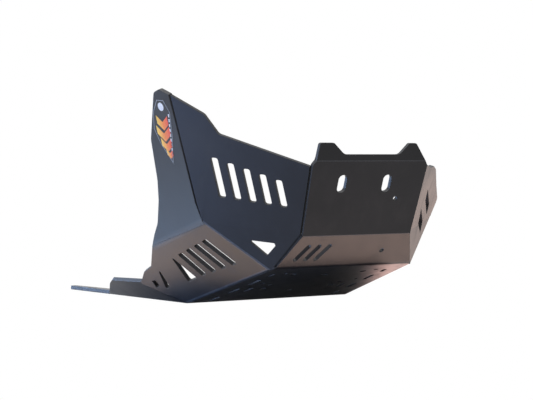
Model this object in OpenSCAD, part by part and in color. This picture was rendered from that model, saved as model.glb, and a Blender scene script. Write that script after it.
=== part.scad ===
// Skid plate for an off-road motorcycle: one plastic sheet, cut to outline and folded.
// Millimetres. +X points forward, +Y to the bike's left and +Z up. The origin is the
// middle of the four bolts in the flat bottom, on its underside.

/* [Sheet] */
// Thickness of the sheet
sheet_t = 6; // [5:0.5:7]
// Outside radius of the tight folds
fold_r = 6; // [4:0.5:8]
// Outside radius of the folds at the front and back of the flat bottom
bottom_fold_r = 11; // [8:1:14]
// Outside radius of the folds along both sides of the flat bottom
bottom_side_r = 7; // [5:0.5:9]
// Outside radius of the shallow folds up the side
side_fold_r = 40; // [25:5:50]

/* [Flat bottom] */
// Length from the front fold to the rear fold
bottom_l = 210; // [200:1:220]
// Width at the front fold
bottom_front_w = 200; // [194:1:206]
// Width at the rear fold
bottom_rear_w = 254; // [248:1:260]
// How far behind the front fold the side folds start
side_start = 7; // [5:0.5:9]
// Width there
side_start_w = 210; // [208:0.5:212]

/* [Front panels] */
// Height of the lower front panel, along the sheet
lower_l = 51.5; // [48:0.5:55]
// Angle of the lower front panel to the bottom
lower_tilt = 36; // [34:1:38]
// Width of the fold between the front panels
brow_w = 158; // [154:1:162]
// Height of the upper front panel, along the sheet
upper_l = 98.5; // [95:0.5:102]
// Angle of the upper front panel to the bottom
upper_tilt = 53; // [51:1:55]
// Greatest width of the upper front panel
upper_w = 166; // [162:1:170]
// Chamfer at its top corners
upper_chamfer = 6; // [4:0.5:8]
// Height of the two tabs above the upper front panel
tab_h = 22; // [19:0.5:25]
// Height of the web between the two tabs
tab_web = 8; // [5:0.5:11]
// Angle of the tabs to the bottom
tab_tilt = 71; // [66:1:76]

/* [Side panels] */
// How far behind the front fold the knee lies, where the side folds meet
knee_back = 38; // [35:1:41]
// Width across the knees
knee_w = 344; // [338:1:350]
// Height of the knee
knee_h = 71; // [68:1:74]
// How far ahead of the front fold the shoulder lies, at the top of the open seam
shoulder_x = 22.5; // [18:0.5:27]
// Distance of the shoulder from the centre plane
shoulder_y = 225; // [220:1:230]
// Height of the shoulder
shoulder_h = 219; // [212:1:226]
// Length of the fold under the ear, the panel behind the open seam
ear_fold_l = 127.4; // [124:0.2:130]
// Open seam between the two upper side panels, measured on each panel
seam_gap = 2; // [1:0.1:3]
// How far the side panels stand outboard of the front panels' edges
side_out = 1.35; // [0.5:0.05:2]
// How much of the front panels' edge faces stays bare
edge_show = 4.5; // [3:0.5:5]

/* [Rear] */
// How far behind the front fold the rear notch lies
notch_back = 260; // [257:1:263]
// Width across the rear notches
notch_w = 334; // [330:1:338]
// Height of the rear notch
notch_h = 42; // [40:1:44]
// Rise of the rear plate behind the flat bottom
rear_rise = 15; // [13:1:17]
// Length of the two rear legs from the rear fold
leg_l = 368; // [355:1:380]
// Width across the leg tips
leg_tip_w = 316; // [308:1:324]
// Width of each leg at its tip
leg_tip = 10; // [8:0.5:13]
// Length of the solid rear plate ahead of the linkage cut-out
rear_web = 120; // [100:5:140]
// Length of the standing flange as a share of the leg
flange_share = 0.629; // [0.6:0.01:0.66]

/* [Cut-outs] */
// Width of the slanted slots in the upper side panel
vent_w = 9.2; // [7:0.2:11]
// Pitch of the slots in the upper side panel
vent_pitch = 19.5; // [19:0.1:20]
// Width of the slanted slots in the lower side panel
rib_slot_w = 10.6; // [8:0.2:13]
// Pitch of the slots in the lower side panel
rib_slot_pitch = 23.6; // [23:0.1:24]
// Width of the drain slots in the lower front panel
drain_w = 6; // [4:0.5:8]
// Width of the frame bolt slots in the upper front panel
frame_slot_w = 12; // [10:0.5:14]
// Length of the frame bolt slots
frame_slot_l = 23; // [20:0.5:26]
// Diameter of the small pilot holes
pilot_d = 6; // [4:0.5:8]

/* [Holes in the bottom] */
// Diameter of the bolt holes
bolt_d = 8.5; // [7:0.5:10]
// Spacing of the bolts along the bike
bolt_dx = 87; // [84:1:90]
// Spacing of the bolts across the bike
bolt_dy = 105; // [101:1:109]
// How far behind the front fold the middle of the bolts lies
bolt_back = 84.5; // [82:0.5:87]
// Width of the drain slots
bottom_slot_w = 5; // [4:0.5:6]
// Length of the drain slots along the side folds
bottom_slot_l = 30; // [26:1:34]
// Pitch of the drain slots
bottom_slot_pitch = 53; // [51:0.5:54]
// Distance of the drain slots from the side folds
bottom_slot_in = 26; // [23:0.5:29]

/* [Hidden] */
$fn = 48;

arc_steps = 4; // straight steps in a rounded corner
pass = 3; // how far a cutter runs past each face
tuck = 4; // how far the side panels reach in behind the front panels
lap = 2; // how far the upper side panels reach in behind the front ones at their hollow fold
bow_at = 0.16; // where the open seam bows back, as a share of its length
bow = 3; // how far it bows back there

function unit(a) = a / norm(a);
function mirrored(p) = [p[0], -p[1], p[2]];

// A panel's frame is three points on its outer face, anticlockwise seen from outside:
// the origin, a point along its u axis and a point on its far side.
function u_of(f) = unit(f[1] - f[0]);
function w_of(f) = unit(cross(f[1] - f[0], f[2] - f[0]));
function v_of(f) = cross(w_of(f), u_of(f));
function on_panel(f, p) = [(p - f[0]) * u_of(f), (p - f[0]) * v_of(f)];
function from_panel(f, q) = f[0] + q[0] * u_of(f) + q[1] * v_of(f);

// Points of the folded sheet, on its outer faces and on the bike's right side
lower_up = [cos(lower_tilt), 0, sin(lower_tilt)];
upper_up = [cos(upper_tilt), 0, sin(upper_tilt)];
tab_up = [cos(tab_tilt), 0, sin(tab_tilt)];
brow = lower_l * lower_up;
crown = brow + upper_l * upper_up;
start = [-side_start, -side_start_w / 2, 0];
heel = [-bottom_l, -bottom_rear_w / 2, 0];
knee = [-knee_back, -knee_w / 2, knee_h];
shoulder = [shoulder_x, -shoulder_y, shoulder_h];
notch = [-notch_back, -notch_w / 2, notch_h];

// Frames of the panels across the plate: u to the left, v forward or up
BOTTOM = [[0, 0, 0], [0, 1, 0], [1, 0, 0]];
LOWER = [[0, 0, 0], [0, 1, 0], lower_up];
UPPER = [brow, brow + [0, 1, 0], brow + upper_up];
TABS = [crown, crown + [0, 1, 0], crown + tab_up];
rear_fold = [-bottom_l, 0, 0];
REAR = [rear_fold, rear_fold + [0, 1, 0], rear_fold + [cos(rear_rise), 0, -sin(rear_rise)]];

// The side panels start behind the front panels' outer faces, so their edges show.
function behind(p, n) = p - [0, side_out, 0] - edge_show * n;
brow_side = behind(brow - [0, brow_w / 2, 0], unit(w_of(LOWER) + w_of(UPPER)));
top_side = behind(from_panel(UPPER, [-upper_w / 2, upper_l - upper_chamfer]), w_of(UPPER));

leg_tip_side = from_panel(REAR, [-leg_tip_w / 2, -leg_l]);
flange_end = heel + flange_share * (leg_tip_side - heel);
hinge_end = knee + ear_fold_l * unit(heel - start);

SIDE_LOW = [heel, start, knee];
SIDE_FRONT = [start, brow_side, knee];
WING = [knee, brow_side, top_side];
EAR = [hinge_end, knee, shoulder];
FLANGE = [flange_end, heel, notch];

// Three points and a radius give the arc that rounds the middle one
function corner(a, b, c) =
    let (
        p = [b[0], b[1]],
        to_a = unit([a[0], a[1]] - p),
        to_c = unit([c[0], c[1]] - p),
        half = acos(max(-1, min(1, to_a * to_c))) / 2,
        centre = p + unit(to_a + to_c) * b[2] / sin(half),
        from = p + to_a * b[2] / tan(half) - centre,
        to = p + to_c * b[2] / tan(half) - centre,
        a0 = atan2(from[1], from[0]),
        turn = atan2(to[1], to[0]) - a0,
        sweep = turn > 180 ? turn - 360 : turn < -180 ? turn + 360 : turn
    )
    [for (i = [0:arc_steps]) centre + b[2] * [cos(a0 + sweep * i / arc_steps), sin(a0 + sweep * i / arc_steps)]];

// An outline's points are [u, v], or [u, v, radius] where the corner is rounded
function rounded(q) =
    [for (i = [0:len(q) - 1])
        let (b = q[i], a = q[(i + len(q) - 1) % len(q)], c = q[(i + 1) % len(q)])
        each (len(b) > 2 ? corner(a, b, c) : [[b[0], b[1]]])];

function both_sides(q) = concat(q, [for (i = [len(q) - 1:-1:0]) concat([-q[i][0]], [for (j = [1:len(q[i]) - 1]) q[i][j]])]);

module place(f) {
    u = u_of(f);
    v = v_of(f);
    w = w_of(f);
    multmatrix([
        [u[0], v[0], w[0], f[0][0]],
        [u[1], v[1], w[1], f[0][1]],
        [u[2], v[2], w[2], f[0][2]],
        [0, 0, 0, 1]
    ])
        children();
}

module panel(f, edge) {
    place(f)
        translate([0, 0, -sheet_t])
            linear_extrude(sheet_t) polygon(rounded(edge));
}

module cut(f, edge) {
    place(f)
        translate([0, 0, -sheet_t - pass])
            linear_extrude(sheet_t + 2 * pass) polygon(rounded(edge));
}

module cut_hole(f, at, d) {
    place(f)
        translate([at[0], at[1], -sheet_t - pass]) cylinder(d = d, h = sheet_t + 2 * pass);
}

// A slot with round ends, from its low end to its high end
module cut_slot(f, low, high, w) {
    along = high - low;
    straight = norm(along) - w;
    place(f)
        translate([low[0], low[1], -sheet_t - pass])
            rotate([0, 0, atan2(along[1], along[0])])
                linear_extrude(sheet_t + 2 * pass)
                    translate([w / 2, 0]) {
                        translate([0, -w / 2]) square([straight, w]);
                        circle(d = w);
                        translate([straight, 0]) circle(d = w);
                    }
}

// A slanted slot with straight sides: lean is how far it leans per unit of height
module cut_slanted(f, u, low, high, w, lean, r) {
    cut(f, [
        [u, low, r],
        [u + w, low, r],
        [u + w + lean * (high - low), high, r],
        [u + lean * (high - low), high, r]
    ]);
}

// Rounds the fold from p to q between two panels to the outside radius r
module round_fold(p, q, f, g, r) {
    over = 1;
    steps = 6;
    half = acos(w_of(f) * w_of(g)) / 2;
    out = unit(w_of(f) + w_of(g));
    along = unit(q - p);
    across = cross(out, along);
    arc = [for (i = [0:steps]) let (a = 90 - half + 2 * half * i / steps)
        [r * cos(a), r * sin(a) - r / cos(half)]];
    multmatrix([
        [across[0], out[0], along[0], p[0]],
        [across[1], out[1], along[1], p[1]],
        [across[2], out[2], along[2], p[2]],
        [0, 0, 0, 1]
    ])
        translate([0, 0, -over])
            linear_extrude(norm(q - p) + 2 * over)
                polygon(concat(
                    [2 * arc[0] - arc[1]],
                    [for (i = [1:steps - 1]) arc[i]],
                    [2 * arc[steps] - arc[steps - 1]],
                    [[0, over]]
                ));
}

module bottom_panel() {
    panel(BOTTOM, [
        [-bottom_front_w / 2, 0],
        [start[1], start[0]],
        [heel[1], heel[0]],
        [-heel[1], heel[0]],
        [-start[1], start[0]],
        [bottom_front_w / 2, 0]
    ]);
}

module front_panels() {
    panel(LOWER, both_sides([[-bottom_front_w / 2, 0], [-brow_w / 2, lower_l]]));
    panel(UPPER, both_sides([[-brow_w / 2, 0], [-upper_w / 2, upper_l - upper_chamfer], [-brow_w / 2, upper_l]]));
    panel(TABS, [
        [-brow_w / 2, 0],
        [-brow_w / 2 + 5, tab_h, 3],
        [-55, tab_h, 4],
        [-40, tab_web, 10],
        [40, tab_web, 10],
        [54.5, tab_h, 3],
        [64.5, tab_h, 4],
        [brow_w / 2, 0]
    ]);
}

// The rear plate has a deep cut-out for the suspension linkage between two tapered legs.
module rear_panel() {
    panel(REAR, both_sides([
        [heel[1], 0],
        [-leg_tip_w / 2, -leg_l, 3],
        [-leg_tip_w / 2 + leg_tip, -leg_l, 3],
        [-129, -rear_web - 112, 60],
        [-92, -rear_web - 50, 40],
        [-62, -rear_web, 25]
    ]));
}

// The low side panel and the standing flange behind it, alike on both sides
module low_side(top) {
    foot = on_panel(SIDE_LOW, start);
    bend = on_panel(SIDE_LOW, knee);
    tail = on_panel(SIDE_LOW, notch);
    panel(SIDE_LOW, concat([[0, 0], foot, bend], top, [tail]));
    panel(FLANGE, [
        [0, 0],
        on_panel(FLANGE, heel),
        on_panel(FLANGE, notch),
        [73, 41, 6],
        [52, 32, 4]
    ]);
}

module front_side() {
    top = on_panel(SIDE_FRONT, brow_side);
    panel(SIDE_FRONT, [
        [0, 0],
        [2 * tuck, -tuck],
        [top[0], -tuck],
        top,
        on_panel(SIDE_FRONT, knee)
    ]);
}

// The fold under the upper side panel is slightly hollow seen from outside, so that
// panel reaches in behind the one below it to close the sheet's inner side.
function hollow_fold(end) = [[0, 0], [3 * lap, -lap], end - [2 * lap, lap], end];

// The right side stands high: a wing ahead of the open seam and an ear behind it.
module right_side() {
    corner_low = on_panel(WING, brow_side);
    corner_top = on_panel(WING, top_side);
    wing_tip = on_panel(WING, shoulder);
    ear_tip = on_panel(EAR, shoulder);
    fold_end = on_panel(EAR, knee);
    low_side([[35.5, on_panel(SIDE_LOW, knee)[1]], [7, 76.5], [-3, 70, 4], [-26, 67.5, 3]]);
    front_side();
    panel(WING, concat(hollow_fold(corner_low), [
        corner_low + [tuck, 0],
        corner_top + [tuck, -3],
        corner_top + [0, -3],
        [18, 116, 8],
        [-1, 139, 10],
        wing_tip + [seam_gap, -3, 2],
        wing_tip * bow_at + [seam_gap - bow, 0]
    ]));
    panel(EAR, [
        [-4, 0],
        fold_end,
        fold_end + (ear_tip - fold_end) * bow_at - [seam_gap + bow, 0],
        ear_tip - [seam_gap, 2],
        [166, 169.5, 4],
        [153.5, 170, 8],
        [103.5, 122, 20],
        [77, 73.5, 50],
        [59, 50, 50],
        [33.5, 24.5, 40],
        [15, 13.5, 40]
    ]);
}

// The left side stays low and ends in a pointed lobe over the knee.
module left_side() {
    corner_low = on_panel(WING, brow_side);
    corner_top = on_panel(WING, top_side);
    mirror([0, 1, 0]) {
        low_side([[120, 88, 12], [40, 62, 40]]);
        front_side();
        panel(WING, concat(hollow_fold(corner_low), [
            corner_low + [tuck, 0],
            corner_top + [tuck, -3],
            corner_top + [0, -3],
            [119, 88],
            [97, 82],
            [76, 81.5, 10],
            [55, 74.5, 10],
            [19, 48, 30],
            [-19.5, 22, 6]
        ]));
    }
}

module right_cutouts() {
    bend = on_panel(SIDE_LOW, knee);
    cut(SIDE_FRONT, [[11.5, 44, 1.5], [31, 17, 1.5], [29.5, 14, 1.5], [12.5, 14, 1.5]]);
    for (k = [0:4])
        cut_slanted(WING, 21 + vent_pitch * k, 35.6 - 0.7 * k, 85.5 - 4.7 * k, vent_w, -0.26, 3);
    for (k = [0:3])
        cut_slanted(SIDE_LOW, bend[0] - 16.5 - rib_slot_pitch * k, 25 + k, 72.5 - k, rib_slot_w, -0.33 + 0.035 * k, 2);
}

module low_cutouts() {
    cut(SIDE_LOW, [[53.3, 72, 1.5], [42.5, 28, 2], [65, 28, 2]]);
    cut(SIDE_LOW, [[3.8, 59, 1.5], [6.3, 58, 1.5], [-2.7, 31.5, 2], [-13.2, 31, 2]]);
    cut(SIDE_LOW, [[-27.5, 50.5, 1.5], [-19, 49, 1.5], [-21, 39.5, 1.5], [-30, 38, 1.5]]);
}

module left_cutouts() {
    mirror([0, 1, 0]) {
        cut(WING, [[75, 50, 1], [70.5, 34, 2], [32.5, 8, 1], [35, 23, 2]]);
        cut(WING, [[84, 24.5, 1], [76.5, 3, 2], [53, -14, 1], [49, 1, 2]]);
    }
}

module front_cutouts() {
    for (k = [0:2])
        cut_slot(LOWER, [-77.8 + 14.5 * k, 11.4], [-63 + 15 * k, 37], drain_w);
    cut_hole(LOWER, [46.5, 24], pilot_d);
    cut_hole(UPPER, [45, 48], pilot_d);
    for (u = [-37, 27.5])
        cut_slot(UPPER, [u, 68.5 - frame_slot_l / 2], [u, 68.5 + frame_slot_l / 2], frame_slot_w);
}

// Seen from below: bolts, centre holes, and drain slots in rows along both side folds
module bottom_cutouts() {
    for (x = [-1, 1], y = [-1, 1])
        cut_hole(BOTTOM, [y * bolt_dy / 2, x * bolt_dx / 2 - bolt_back], bolt_d);
    for (x = [-52, -151])
        cut_hole(BOTTOM, [0, x], pilot_d + 2);
    side = (heel - start) / norm(heel - start);
    for (s = [-1, 1]) {
        for (k = [0:2])
            bottom_slot(s, 63 + bottom_slot_pitch * k, bottom_slot_l, bottom_slot_in + 1.5 * k, side);
        bottom_slot(s, 27, bottom_slot_l / 2, bottom_slot_in - 2, side);
        bottom_slot(s, 116, bottom_slot_l - 7, bottom_slot_in + 21, side);
        for (at = [[68, -34], [71, -92], [54, -105]])
            cut_hole(BOTTOM, [s * at[0], at[1]], pilot_d);
    }
}

// A drain slot beside a side fold: how far along the fold it starts, its length and
// how far it lies inboard
module bottom_slot(s, along, l, inboard, side) {
    low = start + side * along + [0, inboard, 0];
    high = low + side * l;
    cut_slot(BOTTOM, [-s * low[1], low[0]], [-s * high[1], high[0]], bottom_slot_w);
}

module rounded_folds() {
    front_a = [0, -bottom_front_w / 2, 0];
    brow_a = brow - [0, brow_w / 2, 0];
    crown_a = crown - [0, brow_w / 2, 0];
    fold_a = from_panel(EAR, [-4, 0]);
    round_fold(front_a, mirrored(front_a), BOTTOM, LOWER, bottom_fold_r);
    round_fold(brow_a, mirrored(brow_a), LOWER, UPPER, fold_r);
    round_fold(crown_a, mirrored(crown_a), UPPER, TABS, fold_r);
    round_fold(heel, mirrored(heel), BOTTOM, REAR, bottom_fold_r);
    round_fold(fold_a, knee, SIDE_LOW, EAR, side_fold_r);
    for (side = [0, 1])
        mirror([0, side, 0]) {
            round_fold(heel, start, BOTTOM, SIDE_LOW, bottom_side_r);
            round_fold(start, knee, SIDE_LOW, SIDE_FRONT, fold_r);
            round_fold(heel, notch, SIDE_LOW, FLANGE, side_fold_r);
            round_fold(flange_end, heel, REAR, FLANGE, fold_r);
        }
}

module skid_plate() {
    color([0.1, 0.1, 0.11])
        translate([bolt_back, 0, 0]) difference() {
            union() {
                bottom_panel();
                front_panels();
                rear_panel();
                right_side();
                left_side();
            }
            right_cutouts();
            left_cutouts();
            low_cutouts();
            mirror([0, 1, 0]) low_cutouts();
            front_cutouts();
            bottom_cutouts();
            rounded_folds();
        }
}

skid_plate();
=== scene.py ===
import math

import bmesh
import bpy
from mathutils import Matrix, Vector
from mathutils.bvhtree import BVHTree


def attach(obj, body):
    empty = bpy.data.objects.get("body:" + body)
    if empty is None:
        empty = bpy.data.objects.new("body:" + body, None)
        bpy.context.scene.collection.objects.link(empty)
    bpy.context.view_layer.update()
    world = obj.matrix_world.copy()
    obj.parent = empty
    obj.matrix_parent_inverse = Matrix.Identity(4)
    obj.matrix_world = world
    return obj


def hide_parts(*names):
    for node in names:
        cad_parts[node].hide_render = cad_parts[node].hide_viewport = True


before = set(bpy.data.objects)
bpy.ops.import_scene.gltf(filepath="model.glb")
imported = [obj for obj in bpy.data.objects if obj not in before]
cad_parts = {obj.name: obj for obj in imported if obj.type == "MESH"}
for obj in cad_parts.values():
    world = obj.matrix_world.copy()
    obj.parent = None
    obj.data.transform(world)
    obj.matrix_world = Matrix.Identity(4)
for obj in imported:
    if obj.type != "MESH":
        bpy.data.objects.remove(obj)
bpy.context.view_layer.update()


# The skid plate itself is one 6 mm sheet of black polyethylene. It is routed to its
# outline, slotted and drilled while flat, then heated along each fold line and bent.
# Every routed edge has its sharp corners scraped off by about half a millimetre.
SHEET_THICKNESS = 0.006
SKIN_DEPTH = SHEET_THICKNESS * 1.3
SIGHT_START = 0.00005
SIGHT_LENGTH = 0.05
EDGE_BREAK = 0.00055
EDGE_BREAK_STEPS = 2
EDGE_BREAK_CURVE = 0.6
STRAY_REACH = EDGE_BREAK * 0.75
WELD = 0.00002
SPECK = 0.00015
FLATNESS = math.radians(0.4)
SKIN, ROUTED, FOLDED = 0, 1, 2

# Two faces that meet at less than the first angle are as good as flat, at less than
# the second they are facets of one bend, and above it they meet at a sharp edge.
LEAST_TURN = math.radians(2)
FOLD_FACET = math.radians(26)
SMOOTH_TURN = math.radians(38)
STRIP_WIDTH = 0.0009
SCRAPED_WIDTH = 0.0007
HOLE_WALL_WIDTH = SHEET_THICKNESS * 1.1

# Each gap's upper end, its lower end and the way that its open side faces, on the left
GAP_LINES = [
    ((0.1775, 0.0829, 0.1039), (0.1241, 0.0790, 0.0329), (0.57, 0.67, -0.47)),
    ((0.1248, 0.0786, 0.0335), (0.0845, 0.0995, 0.0020), (0.64, 0.68, -0.36)),
]
GAP_WIDTH = 0.0018
GAP_DEPTH = 0.0032
GAP_HEADROOM = 0.0015
GAP_LAP = 0.0002
GAP_OVERRUN = 0.0004
GAP_SECTION = [
    (0, -GAP_DEPTH),
    (GAP_WIDTH, -GAP_DEPTH),
    (GAP_WIDTH, GAP_HEADROOM),
    (-GAP_LAP, GAP_HEADROOM),
]

SKIN_BLACKS = (0.021, 0.021, 0.024), (0.034, 0.034, 0.038)
ROUTED_BLACKS = (0.040, 0.040, 0.043), (0.062, 0.062, 0.066)
# The fold strips' lighter, bluish black is a painted highlight along each fold's rounded outside.
FOLD_HIGHLIGHT_BLACKS = (0.080, 0.084, 0.094), (0.115, 0.120, 0.132)
PLASTIC_GLOSS = 0.25
SKIN_ROUGHNESS = (0.31, 0.36)
RUBBED_ROUGHNESS = (0, 0.09)
ROUTED_ROUGHNESS = (0.46, 0.6)
HALF_WAY_TO_PALE = (0, 0.5)

# Each texture's scale and detail, and how much of its range shows in colour and gloss
MOTTLE = (22, 4)
MOTTLE_IN_COLOUR = (0.35, 0.7)
MOTTLE_IN_GLOSS = (0.3, 0.7)
RUB = (60, 6)
RUB_STRETCH = (1, 1, 0.12)
RUB_IN_COLOUR = (0.55, 0.8)
RUB_IN_GLOSS = (0.5, 0.85)
GRAIN = (1400, 2)
GRAIN_IN_GLOSS = (0.3, 0.7)
GRAIN_HEIGHT, GRAIN_STRENGTH = 0.00002, 0.5
PEEL = (150, 2)
PEEL_HEIGHT, PEEL_STRENGTH = 0.00012, 0.25


def sheet_from_frame(cad_node):
    whole = bmesh.new()
    whole.from_mesh(cad_node.data)
    bmesh.ops.remove_doubles(whole, verts=whole.verts, dist=WELD)
    whole_mesh = bpy.data.meshes.new("whole_sheet")
    whole.to_mesh(whole_mesh)
    whole.free()
    sheet = bmesh.new()
    sheet.from_mesh(cut_away(whole_mesh, corner_gaps()))
    bmesh.ops.remove_doubles(sheet, verts=sheet.verts, dist=WELD)
    bmesh.ops.dissolve_degenerate(sheet, edges=sheet.edges, dist=SPECK)
    bmesh.ops.dissolve_limit(
        sheet, angle_limit=FLATNESS, verts=sheet.verts, edges=sheet.edges
    )
    bmesh.ops.recalc_face_normals(sheet, faces=sheet.faces)
    return sheet


def corner_gaps():
    # The front panels aren't joined to the side panels. A narrow gap runs down the
    # side panel, right beside the cut edge of the front panel.
    gaps = bmesh.new()
    for side in (-1, 1):
        for line in GAP_LINES:
            top, foot, facing = [Vector((x, y * side, z)) for x, y, z in line]
            facing = facing.normalized()
            run = (top - foot).normalized()
            away = run.cross(facing).normalized() * side
            corners = []
            for end in (foot - run * GAP_OVERRUN, top + run * GAP_OVERRUN):
                for across, out in GAP_SECTION:
                    corners.append(gaps.verts.new(end + away * across + facing * out))
            for i in range(4):
                before = (i - 1) % 4
                gaps.faces.new([corners[before], corners[i], corners[i + 4], corners[before + 4]])
            gaps.faces.new(corners[:4])
            gaps.faces.new(corners[4:])
    bmesh.ops.recalc_face_normals(gaps, faces=gaps.faces)
    gap_mesh = bpy.data.meshes.new("corner_gaps")
    gaps.to_mesh(gap_mesh)
    gaps.free()
    return bpy.data.objects.new("corner_gaps", gap_mesh)


def cut_away(whole_mesh, cutter):
    uncut = bpy.data.objects.new("uncut", whole_mesh)
    for obj in (uncut, cutter):
        bpy.context.scene.collection.objects.link(obj)
    saw = uncut.modifiers.new("gaps", "BOOLEAN")
    saw.object = cutter
    saw.operation = "DIFFERENCE"
    saw.solver = "EXACT"
    saw.use_self = True
    bpy.context.view_layer.update()
    sawn = uncut.evaluated_get(bpy.context.evaluated_depsgraph_get())
    cut_mesh = bpy.data.meshes.new_from_object(sawn)
    for obj in (uncut, cutter):
        bpy.data.objects.remove(obj)
    return cut_mesh


def mark_routed_faces(sheet, solid):
    # A skin face has the sheet's other skin 6 mm behind it, and a routed face hasn't.
    # It is looked at from the middle of its largest triangle, which is never in a hole.
    sheet.normal_update()
    middles = {}
    for loops in sheet.calc_loop_triangles():
        a, b, c = [loop.vert.co for loop in loops]
        size = (b - a).cross(c - a).length
        if size >= middles.get(loops[0].face, (0, None))[0]:
            middles[loops[0].face] = (size, (a + b + c) / 3)
    for face in sheet.faces:
        inside = middles[face][1] - face.normal * SIGHT_START
        depth = solid.ray_cast(inside, -face.normal, SIGHT_LENGTH)[3]
        is_skin = depth is not None and depth < SKIN_DEPTH
        face.material_index = SKIN if is_skin else ROUTED


def width_of(face):
    return face.calc_area() / max(edge.calc_length() for edge in face.edges)


def is_in_a_bend(face):
    # A strip of a bend has a slight turn along both of its sides.
    turns = [
        edge for edge in face.edges
        if len(edge.link_faces) == 2 and LEAST_TURN < edge.calc_face_angle(0) < FOLD_FACET
    ]
    return len(turns) > 1


def mark_fold_strips(sheet):
    # The rounded outside of a fold is a row of narrow strips between two flat panels.
    # These strips take the lighter, bluish fold black, which is a painted highlight.
    for face in sheet.faces:
        if face.material_index == SKIN and is_in_a_bend(face) and width_of(face) < STRIP_WIDTH:
            face.material_index = FOLDED


def break_edges(sheet):
    hard = [
        edge for edge in sheet.edges
        if len(edge.link_faces) == 2 and edge.calc_face_angle(0) > FOLD_FACET
    ]
    bmesh.ops.bevel(
        sheet, geom=hard, offset=EDGE_BREAK, offset_type="OFFSET", segments=EDGE_BREAK_STEPS,
        profile=EDGE_BREAK_CURVE, affect="EDGES", clamp_overlap=False, material=-1,
    )


def draw_back_strays(sheet, solid):
    # Where several folds and cuts meet, a scraped corner can overshoot the sheet.
    for vert in sheet.verts:
        nearest, _, _, distance = solid.find_nearest(vert.co)
        if distance > STRAY_REACH:
            vert.co = nearest


def surface_directions(sheet):
    # A flat face keeps its own direction right up to its rim. The narrow faces of
    # scraped edges, folds and hole walls turn smoothly between their neighbours.
    sheet.normal_update()
    turning = set()
    for face in sheet.faces:
        width = width_of(face)
        if width < SCRAPED_WIDTH or (is_in_a_bend(face) and width < HOLE_WALL_WIDTH):
            turning.add(face)
    directions = []
    for face in sheet.faces:
        for loop in face.loops:
            near = [face]
            if face in turning:
                near = [
                    other for other in loop.vert.link_faces
                    if other.normal.dot(face.normal) > math.cos(SMOOTH_TURN)
                ]
                near = [other for other in near if other not in turning] or near
            mean = sum((other.normal * other.calc_area() for other in near), Vector())
            directions.append(mean.normalized())
    return directions


def black_polyethylene(name, blacks, routed=False):
    # The sheet has a broad peel, a fine grain, a soft mottle and upright rubbed streaks.
    # A routed face is duller, and only the grain shows in its gloss.
    finish = bpy.data.materials.new(name)
    finish.use_nodes = True
    nodes, links = finish.node_tree.nodes, finish.node_tree.links
    shader = nodes["Principled BSDF"]
    shader.inputs["Specular IOR Level"].default_value = PLASTIC_GLOSS
    place = nodes.new("ShaderNodeTexCoord")

    def noise(scale, detail, stretch=(1, 1, 1)):
        mapping = nodes.new("ShaderNodeMapping")
        mapping.inputs["Scale"].default_value = stretch
        links.new(place.outputs["Object"], mapping.inputs["Vector"])
        texture = nodes.new("ShaderNodeTexNoise")
        texture.inputs["Scale"].default_value = scale
        texture.inputs["Detail"].default_value = detail
        links.new(mapping.outputs["Vector"], texture.inputs["Vector"])
        return texture.outputs["Fac"]

    def spread(value, shown, to):
        ramp = nodes.new("ShaderNodeMapRange")
        for socket, number in zip(ramp.inputs[1:5], (*shown, *to)):
            socket.default_value = number
        links.new(value, ramp.inputs["Value"])
        return ramp.outputs["Result"]

    def total(a, b):
        sums = nodes.new("ShaderNodeMath")
        sums.operation = "ADD"
        links.new(a, sums.inputs[0])
        links.new(b, sums.inputs[1])
        return sums.outputs["Value"]

    def bump(height, distance, strength):
        relief = nodes.new("ShaderNodeBump")
        relief.inputs["Distance"].default_value = distance
        relief.inputs["Strength"].default_value = strength
        links.new(height, relief.inputs["Height"])
        return relief

    mottle = noise(*MOTTLE)
    grain = noise(*GRAIN)
    peel = noise(*PEEL)
    rub = noise(*RUB, RUB_STRETCH)

    colour = nodes.new("ShaderNodeMix")
    colour.data_type = "RGBA"
    for end, black in zip("AB", blacks):
        colour.inputs[end].default_value = (*black, 1)
    paleness = total(
        spread(mottle, MOTTLE_IN_COLOUR, to=HALF_WAY_TO_PALE),
        spread(rub, RUB_IN_COLOUR, to=HALF_WAY_TO_PALE),
    )
    links.new(paleness, colour.inputs["Factor"])
    links.new(colour.outputs["Result"], shader.inputs["Base Color"])

    if routed:
        roughness = spread(grain, GRAIN_IN_GLOSS, to=ROUTED_ROUGHNESS)
    else:
        roughness = total(
            spread(mottle, MOTTLE_IN_GLOSS, to=SKIN_ROUGHNESS),
            spread(rub, RUB_IN_GLOSS, to=RUBBED_ROUGHNESS),
        )
    links.new(roughness, shader.inputs["Roughness"])

    fine = bump(grain, GRAIN_HEIGHT, GRAIN_STRENGTH)
    broad = bump(peel, PEEL_HEIGHT, PEEL_STRENGTH)
    links.new(fine.outputs["Normal"], broad.inputs["Normal"])
    links.new(broad.outputs["Normal"], shader.inputs["Normal"])
    return finish


folded_sheet = sheet_from_frame(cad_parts["skid_plate"])
sharp_solid = BVHTree.FromBMesh(folded_sheet)
mark_routed_faces(folded_sheet, sharp_solid)
mark_fold_strips(folded_sheet)
break_edges(folded_sheet)
draw_back_strays(folded_sheet, sharp_solid)
for face in folded_sheet.faces:
    face.smooth = True
folded_sheet.faces.index_update()
directions = surface_directions(folded_sheet)
plate_mesh = bpy.data.meshes.new("plate")
folded_sheet.to_mesh(plate_mesh)
folded_sheet.free()
plate_mesh.materials.append(black_polyethylene("black_sheet_skin", SKIN_BLACKS))
plate_mesh.materials.append(black_polyethylene("black_routed_edge", ROUTED_BLACKS, routed=True))
# The third finish paints a highlight onto the fold strips.
plate_mesh.materials.append(black_polyethylene("black_fold_painted_highlight", FOLD_HIGHLIGHT_BLACKS))
plate = bpy.data.objects.new("plate", plate_mesh)
bpy.context.scene.collection.objects.link(plate)
plate_mesh.normals_split_custom_set(directions)
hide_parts("skid_plate")
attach(plate, "root")


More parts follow.
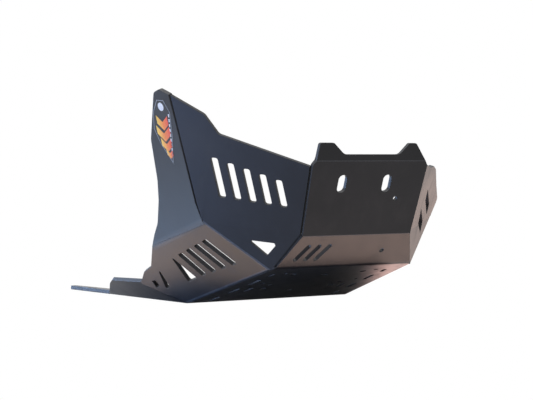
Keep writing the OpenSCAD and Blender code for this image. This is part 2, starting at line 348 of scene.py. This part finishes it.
# The decal is a die-cut pennant of printed vinyl, 0.15 mm thick, pressed onto the flat
# outer face of the raised panel on the right. On black it carries a silver line round
# its rim, a white disc, four chevrons from yellow to red and a row of white dashes.
KNEE = Vector((0.0465, -0.172, 0.071))
SHOULDER = Vector((0.107, -0.225, 0.219))
FOLD_DIRECTION = Vector((0.203, 0.022, 0)).normalized()
FOLD_LENGTH = 0.1274
EAR_OUT = FOLD_DIRECTION.cross(SHOULDER - KNEE).normalized()
EAR_UP = EAR_OUT.cross(FOLD_DIRECTION)
EAR_FOOT = KNEE - FOLD_DIRECTION * FOLD_LENGTH

VINYL_THICKNESS = 0.00015
INK_LIFT = VINYL_THICKNESS + 0.00003
GLUE_LIFT = 0.00001
WHITE, INK, SILVER = (0.80, 0.80, 0.82), (0.022, 0.022, 0.026), (0.30, 0.32, 0.36)
RED, ORANGE, YELLOW = (0.86, 0.085, 0.055), (0.90, 0.26, 0.06), (0.93, 0.60, 0.11)

# The tip's place on the panel is in metres. On the decal, sizes are in millimetres.
MILLIMETRES = 1000
DECAL_TIP = (0.1257, 0.0796)
DECAL_LEAN = math.atan2(0.921, 0.39)
DECAL_ALONG = Vector((math.cos(DECAL_LEAN), math.sin(DECAL_LEAN)))
DECAL_ACROSS = Vector((math.sin(DECAL_LEAN), -math.cos(DECAL_LEAN)))
DECAL_RIM = [
    (0, 0), (11, 40), (15.5, 70), (7, 85.5), (-7, 85.5), (-20, 68), (-25.5, 46), (-18, 26),
]
RIM_LINE = (0.9, 1.7)
SHARPEST_INSET = 0.3
DISC_X, DISC_Y, DISC_RADIUS, DISC_SIDES = -1, 76, 5.4, 28

# Each chevron's middle, its inner point's height, its half width and its band
CHEVRONS = [(-4, 56, 11, 11), (-6, 41, 13, 11), (-5, 27, 10, 10), (-2.5, 15.5, 6, 7.5)]
CHEVRON_SLOPE = 0.75
DASHES, FIRST_DASH, DASH_PITCH, DASH_LENGTH, DASH_HALF_WIDTH = 9, 12, 6.4, 4, 1
DASH_LEAN, DASH_OFFSET = 11.6 / 66, -0.4

vinyl = bmesh.new()
print_colour = vinyl.loops.layers.float_color.new("print")


def on_ear(point, lift):
    # The first number runs across the decal and the second up from its tip.
    from_tip = (DECAL_ACROSS * point[0] + DECAL_ALONG * point[1]) / MILLIMETRES
    flat = Vector(DECAL_TIP) + from_tip
    return EAR_FOOT + FOLD_DIRECTION * flat.x + EAR_UP * flat.y + EAR_OUT * lift


def inset(rim, width):
    corners = [Vector(corner) for corner in rim]
    moved = []
    for i, point in enumerate(corners):
        arriving = (point - corners[i - 1]).normalized()
        leaving = (corners[(i + 1) % len(corners)] - point).normalized()
        arriving_normal = Vector((-arriving.y, arriving.x))
        leaving_normal = Vector((-leaving.y, leaving.x))
        inward = (arriving_normal + leaving_normal).normalized()
        moved.append(point + inward * width / max(SHARPEST_INSET, inward.dot(arriving_normal)))
    return moved


def printed(points, colours, lift=INK_LIFT):
    shape = vinyl.faces.new([vinyl.verts.new(on_ear(point, lift)) for point in points])
    for loop, colour in zip(shape.loops, colours):
        loop[print_colour] = (*colour, 1)
    return shape


base = printed(DECAL_RIM, [INK] * len(DECAL_RIM), VINYL_THICKNESS)
foot = [vinyl.verts.new(on_ear(point, GLUE_LIFT)) for point in DECAL_RIM]
top = list(base.verts)
for i in range(len(top)):
    cut_side = vinyl.faces.new([top[i - 1], foot[i - 1], foot[i], top[i]])
    for loop in cut_side.loops:
        loop[print_colour] = (*SILVER, 1)

outer_line, inner_line = [inset(DECAL_RIM, width) for width in RIM_LINE]
for i in range(len(outer_line)):
    printed([outer_line[i - 1], outer_line[i], inner_line[i], inner_line[i - 1]], [SILVER] * 4)

disc_angles = [math.tau * i / DISC_SIDES for i in range(DISC_SIDES)]
disc = [
    (DISC_X + DISC_RADIUS * math.cos(angle), DISC_Y + DISC_RADIUS * math.sin(angle))
    for angle in disc_angles
]
printed(disc, [WHITE] * DISC_SIDES)

for middle, bottom, half, band in CHEVRONS:
    rise = CHEVRON_SLOPE * half
    left, right = middle - half, middle + half
    printed(
        [(left, bottom + rise - band), (middle, bottom - band), (middle, bottom), (left, bottom + rise)],
        [YELLOW, ORANGE, ORANGE, YELLOW],
    )
    printed(
        [(middle, bottom - band), (right, bottom + rise - band), (right, bottom + rise), (middle, bottom)],
        [ORANGE, RED, RED, ORANGE],
    )

for i in range(DASHES):
    low = FIRST_DASH + DASH_PITCH * i
    high = low + DASH_LENGTH
    x_low, x_high = low * DASH_LEAN + DASH_OFFSET, high * DASH_LEAN + DASH_OFFSET
    printed(
        [
            (x_low - DASH_HALF_WIDTH, low), (x_low + DASH_HALF_WIDTH, low),
            (x_high + DASH_HALF_WIDTH, high), (x_high - DASH_HALF_WIDTH, high),
        ],
        [WHITE] * 4,
    )

decal_mesh = bpy.data.meshes.new("decal")
vinyl.to_mesh(decal_mesh)
vinyl.free()

VINYL_ROUGHNESS = 0.3
VINYL_GLOSS = 0.35
WEAR_SCALE, WEAR_DETAIL = 700, 3
WEAR_TO_BRIGHTNESS = (0.35, 0.7, 0.82, 1.0)
RIPPLE_HEIGHT, RIPPLE_STRENGTH = 0.00002, 0.4

printed_vinyl = bpy.data.materials.new("printed_vinyl")
printed_vinyl.use_nodes = True
nodes, links = printed_vinyl.node_tree.nodes, printed_vinyl.node_tree.links
shader = nodes["Principled BSDF"]
shader.inputs["Roughness"].default_value = VINYL_ROUGHNESS
shader.inputs["Specular IOR Level"].default_value = VINYL_GLOSS
ink = nodes.new("ShaderNodeVertexColor")
ink.layer_name = "print"
place = nodes.new("ShaderNodeTexCoord")
wear = nodes.new("ShaderNodeTexNoise")
wear.inputs["Scale"].default_value = WEAR_SCALE
wear.inputs["Detail"].default_value = WEAR_DETAIL
links.new(place.outputs["Object"], wear.inputs["Vector"])
amount = nodes.new("ShaderNodeMapRange")
for socket, number in zip(amount.inputs[1:5], WEAR_TO_BRIGHTNESS):
    socket.default_value = number
links.new(wear.outputs["Fac"], amount.inputs["Value"])
worn = nodes.new("ShaderNodeVectorMath")
worn.operation = "SCALE"
links.new(ink.outputs["Color"], worn.inputs[0])
links.new(amount.outputs["Result"], worn.inputs["Scale"])
links.new(worn.outputs["Vector"], shader.inputs["Base Color"])
ripple = nodes.new("ShaderNodeBump")
ripple.inputs["Distance"].default_value = RIPPLE_HEIGHT
ripple.inputs["Strength"].default_value = RIPPLE_STRENGTH
links.new(wear.outputs["Fac"], ripple.inputs["Height"])
links.new(ripple.outputs["Normal"], shader.inputs["Normal"])

decal_mesh.materials.append(printed_vinyl)
decal = bpy.data.objects.new("decal", decal_mesh)
bpy.context.scene.collection.objects.link(decal)
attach(decal, "root")


# The pale floor that the plate stands on is a large matt board. Seen from below it is
# left out, as in the photograph, which looks up at the plate against plain white.
FLOOR_RADIUS = 12
FLOOR_SIDES = 96
FLOOR_LEVEL = -0.0003
FLOOR_COLOUR = (0.80, 0.80, 0.80, 1)

board = bmesh.new()
bmesh.ops.create_circle(board, cap_ends=True, radius=FLOOR_RADIUS, segments=FLOOR_SIDES)
floor_mesh = bpy.data.meshes.new("floor")
board.to_mesh(floor_mesh)
board.free()
floor = bpy.data.objects.new("floor", floor_mesh)
floor.location = (0, 0, FLOOR_LEVEL)
bpy.context.scene.collection.objects.link(floor)

pale_board = bpy.data.materials.new("pale_board")
pale_board.use_nodes = True
nodes, links = pale_board.node_tree.nodes, pale_board.node_tree.links
nodes.remove(nodes["Principled BSDF"])
matt = nodes.new("ShaderNodeBsdfDiffuse")
matt.inputs["Color"].default_value = FLOOR_COLOUR
clear = nodes.new("ShaderNodeBsdfTransparent")
ray = nodes.new("ShaderNodeLightPath")
side_seen = nodes.new("ShaderNodeNewGeometry")
from_above = nodes.new("ShaderNodeMath")
from_above.operation = "SUBTRACT"
from_above.use_clamp = True
links.new(ray.outputs["Is Camera Ray"], from_above.inputs[0])
links.new(side_seen.outputs["Backfacing"], from_above.inputs[1])
choice = nodes.new("ShaderNodeMixShader")
links.new(from_above.outputs["Value"], choice.inputs["Fac"])
links.new(clear.outputs["BSDF"], choice.inputs[1])
links.new(matt.outputs["BSDF"], choice.inputs[2])
links.new(choice.outputs["Shader"], nodes["Material Output"].inputs["Surface"])
floor_mesh.materials.append(pale_board)


# A dark sheet of painted shade lies a little way under the plate. The camera doesn't see it,
# but the flat bottom and the lower side mirror it, which keeps the underside dark.
SHADE_SHEET_LEVEL = -0.05
SHADE_SHEET_COLOUR = (0.015, 0.015, 0.018, 1)
SHADE_SHEET_CORNERS = [
    (0.083, -0.085), (0.083, 0.09), (-0.30, 0.28), (-1.1, 0.70),
    (-0.80, -0.29), (-0.45, -0.23), (-0.20, -0.20),
]

shade_sheet_faces = bmesh.new()
shade_sheet_faces.faces.new([shade_sheet_faces.verts.new((x, y, SHADE_SHEET_LEVEL)) for x, y in SHADE_SHEET_CORNERS])
shade_sheet_mesh = bpy.data.meshes.new("painted_shade_sheet")
shade_sheet_faces.to_mesh(shade_sheet_mesh)
shade_sheet_faces.free()
painted_shade_sheet = bpy.data.objects.new("painted_shade_sheet", shade_sheet_mesh)
bpy.context.scene.collection.objects.link(painted_shade_sheet)
# Its near-black, matt finish is painted shade, not a real cloth.
shade_sheet_finish = bpy.data.materials.new("painted_shade_sheet")
shade_sheet_finish.use_nodes = True
shader = shade_sheet_finish.node_tree.nodes["Principled BSDF"]
shader.inputs["Base Color"].default_value = SHADE_SHEET_COLOUR
shader.inputs["Roughness"].default_value = 1
shader.inputs["Specular IOR Level"].default_value = 0
shade_sheet_mesh.materials.append(shade_sheet_finish)
painted_shade_sheet.visible_camera = False


# The light is soft and plain: a dim even surround, and a few large lamps round the
# plate. The surround shows as plain white to the camera and in reflections.
SURROUND = 0.25
WHITE_LIGHT = (1, 1, 1, 1)
MIDDLE = Vector((-0.05, 0, 0.08))

# Each lamp's direction from the plate, its distance, its width, its watts and its colour
LAMPS = [
    ("side", (-0.74, -0.60, -0.30), 1.6, 0.7, 4.9, (0.36, 0.60, 1.0)),
    ("side_low", (-0.76, -0.371, -0.536), 1.6, 0.9, 4.4, (1.0, 0.58, 0.26)),
    ("near_side", (0.05, -0.93, -0.36), 1.6, 0.9, 10.2, (0.23, 0.45, 1.0)),
    ("below_front", (-0.046, 0.474, -0.884), 1.6, 0.9, 9.8, (1.0, 0.66, 0.53)),
    ("below_far", (-0.70, 0.68, -0.25), 1.6, 0.5, 1.7, (1.0, 0.5, 0.4)),
    ("far_side", (-0.55, 0.835, -0.007), 1.6, 0.5, 0.5, (1.0, 0.42, 0.20)),
    ("tail", (-0.92, -0.33, 0.30), 1.6, 0.5, 15, (0.36, 0.58, 1.0)),
    ("above", (0.1, -0.25, 0.96), 3.0, 2.5, 62, (1.0, 1.0, 1.0)),
]
LAMPS_OFF_THE_FLOOR = ("tail", "far_side")
SPOT_AIM = on_ear((-4, 50), 0)
SPOT_DIRECTION = Vector((0.72, -0.69, 0.05)).normalized()
SPOT_DISTANCE = 1.8
SPOT_WATTS = 135
SPOT_CONE = math.radians(6)
SPOT_EDGE = 0.9
SPOT_RADIUS = 0.1

world = bpy.data.worlds.new("surround")
bpy.context.scene.world = world
world.use_nodes = True
nodes, links = world.node_tree.nodes, world.node_tree.links
dim = nodes["Background"]
dim.inputs["Color"].default_value = WHITE_LIGHT
dim.inputs["Strength"].default_value = SURROUND
white = nodes.new("ShaderNodeBackground")
white.inputs["Color"].default_value = WHITE_LIGHT
white.inputs["Strength"].default_value = 1
ray = nodes.new("ShaderNodeLightPath")
camera_or_gloss = nodes.new("ShaderNodeMath")
or_through = nodes.new("ShaderNodeMath")
for step in (camera_or_gloss, or_through):
    step.operation = "MAXIMUM"
links.new(ray.outputs["Is Camera Ray"], camera_or_gloss.inputs[0])
links.new(ray.outputs["Is Glossy Ray"], camera_or_gloss.inputs[1])
links.new(camera_or_gloss.outputs["Value"], or_through.inputs[0])
links.new(ray.outputs["Is Transmission Ray"], or_through.inputs[1])
seen = nodes.new("ShaderNodeMixShader")
links.new(or_through.outputs["Value"], seen.inputs["Fac"])
links.new(dim.outputs["Background"], seen.inputs[1])
links.new(white.outputs["Background"], seen.inputs[2])
links.new(seen.outputs["Shader"], nodes["World Output"].inputs["Surface"])

off_the_floor = bpy.data.collections.new("off_the_floor")
for piece in (plate, decal):
    off_the_floor.objects.link(piece)

for name, direction, distance, width, watts, colour in LAMPS:
    light = bpy.data.lights.new(name, "AREA")
    light.shape = "DISK"
    light.size = width
    light.energy = watts
    light.color = colour
    lamp = bpy.data.objects.new(name, light)
    towards = Vector(direction).normalized()
    lamp.location = MIDDLE + towards * distance
    lamp.rotation_mode = "QUATERNION"
    lamp.rotation_quaternion = towards.to_track_quat("Z", "Y")
    lamp.visible_camera = False
    if name in LAMPS_OFF_THE_FLOOR:
        lamp.light_linking.receiver_collection = off_the_floor
    bpy.context.scene.collection.objects.link(lamp)

spot_light = bpy.data.lights.new("decal_spot", "SPOT")
spot_light.energy = SPOT_WATTS
spot_light.spot_size = SPOT_CONE
spot_light.spot_blend = SPOT_EDGE
spot_light.shadow_soft_size = SPOT_RADIUS
spot = bpy.data.objects.new("decal_spot", spot_light)
spot.location = SPOT_AIM + SPOT_DIRECTION * SPOT_DISTANCE
spot.rotation_mode = "QUATERNION"
spot.rotation_quaternion = (spot.location - SPOT_AIM).to_track_quat("Z", "Y")
spot.light_linking.receiver_collection = off_the_floor
bpy.context.scene.collection.objects.link(spot)


# The camera stands ahead of the plate on its right, a little below it and rolled, as
# the photograph was taken, with a long lens from 1.7 m.
FOCAL_PIXELS = 1367.44
PICTURE_WIDTH = 533
SENSOR = 36
NEAREST_SEEN, FARTHEST_SEEN = 0.05, 60
CAMERA_PLACE = (1.53944, -0.90816, -0.29037)
CAMERA_RIGHT = (0.4543, 0.8803, -0.1367)
CAMERA_UP = (0.2600, 0.0158, 0.9655)
CAMERA_BACK = (0.8520, -0.4742, -0.2217)

lens = bpy.data.cameras.new("camera")
lens.sensor_width = SENSOR
lens.lens = SENSOR * FOCAL_PIXELS / PICTURE_WIDTH
lens.clip_start = NEAREST_SEEN
lens.clip_end = FARTHEST_SEEN
camera = bpy.data.objects.new("camera", lens)
turn = Matrix((CAMERA_RIGHT, CAMERA_UP, CAMERA_BACK)).transposed().to_4x4()
camera.matrix_world = Matrix.Translation(CAMERA_PLACE) @ turn
bpy.context.scene.collection.objects.link(camera)
bpy.context.scene.camera = camera
bpy.context.scene.view_settings.view_transform = "Standard"
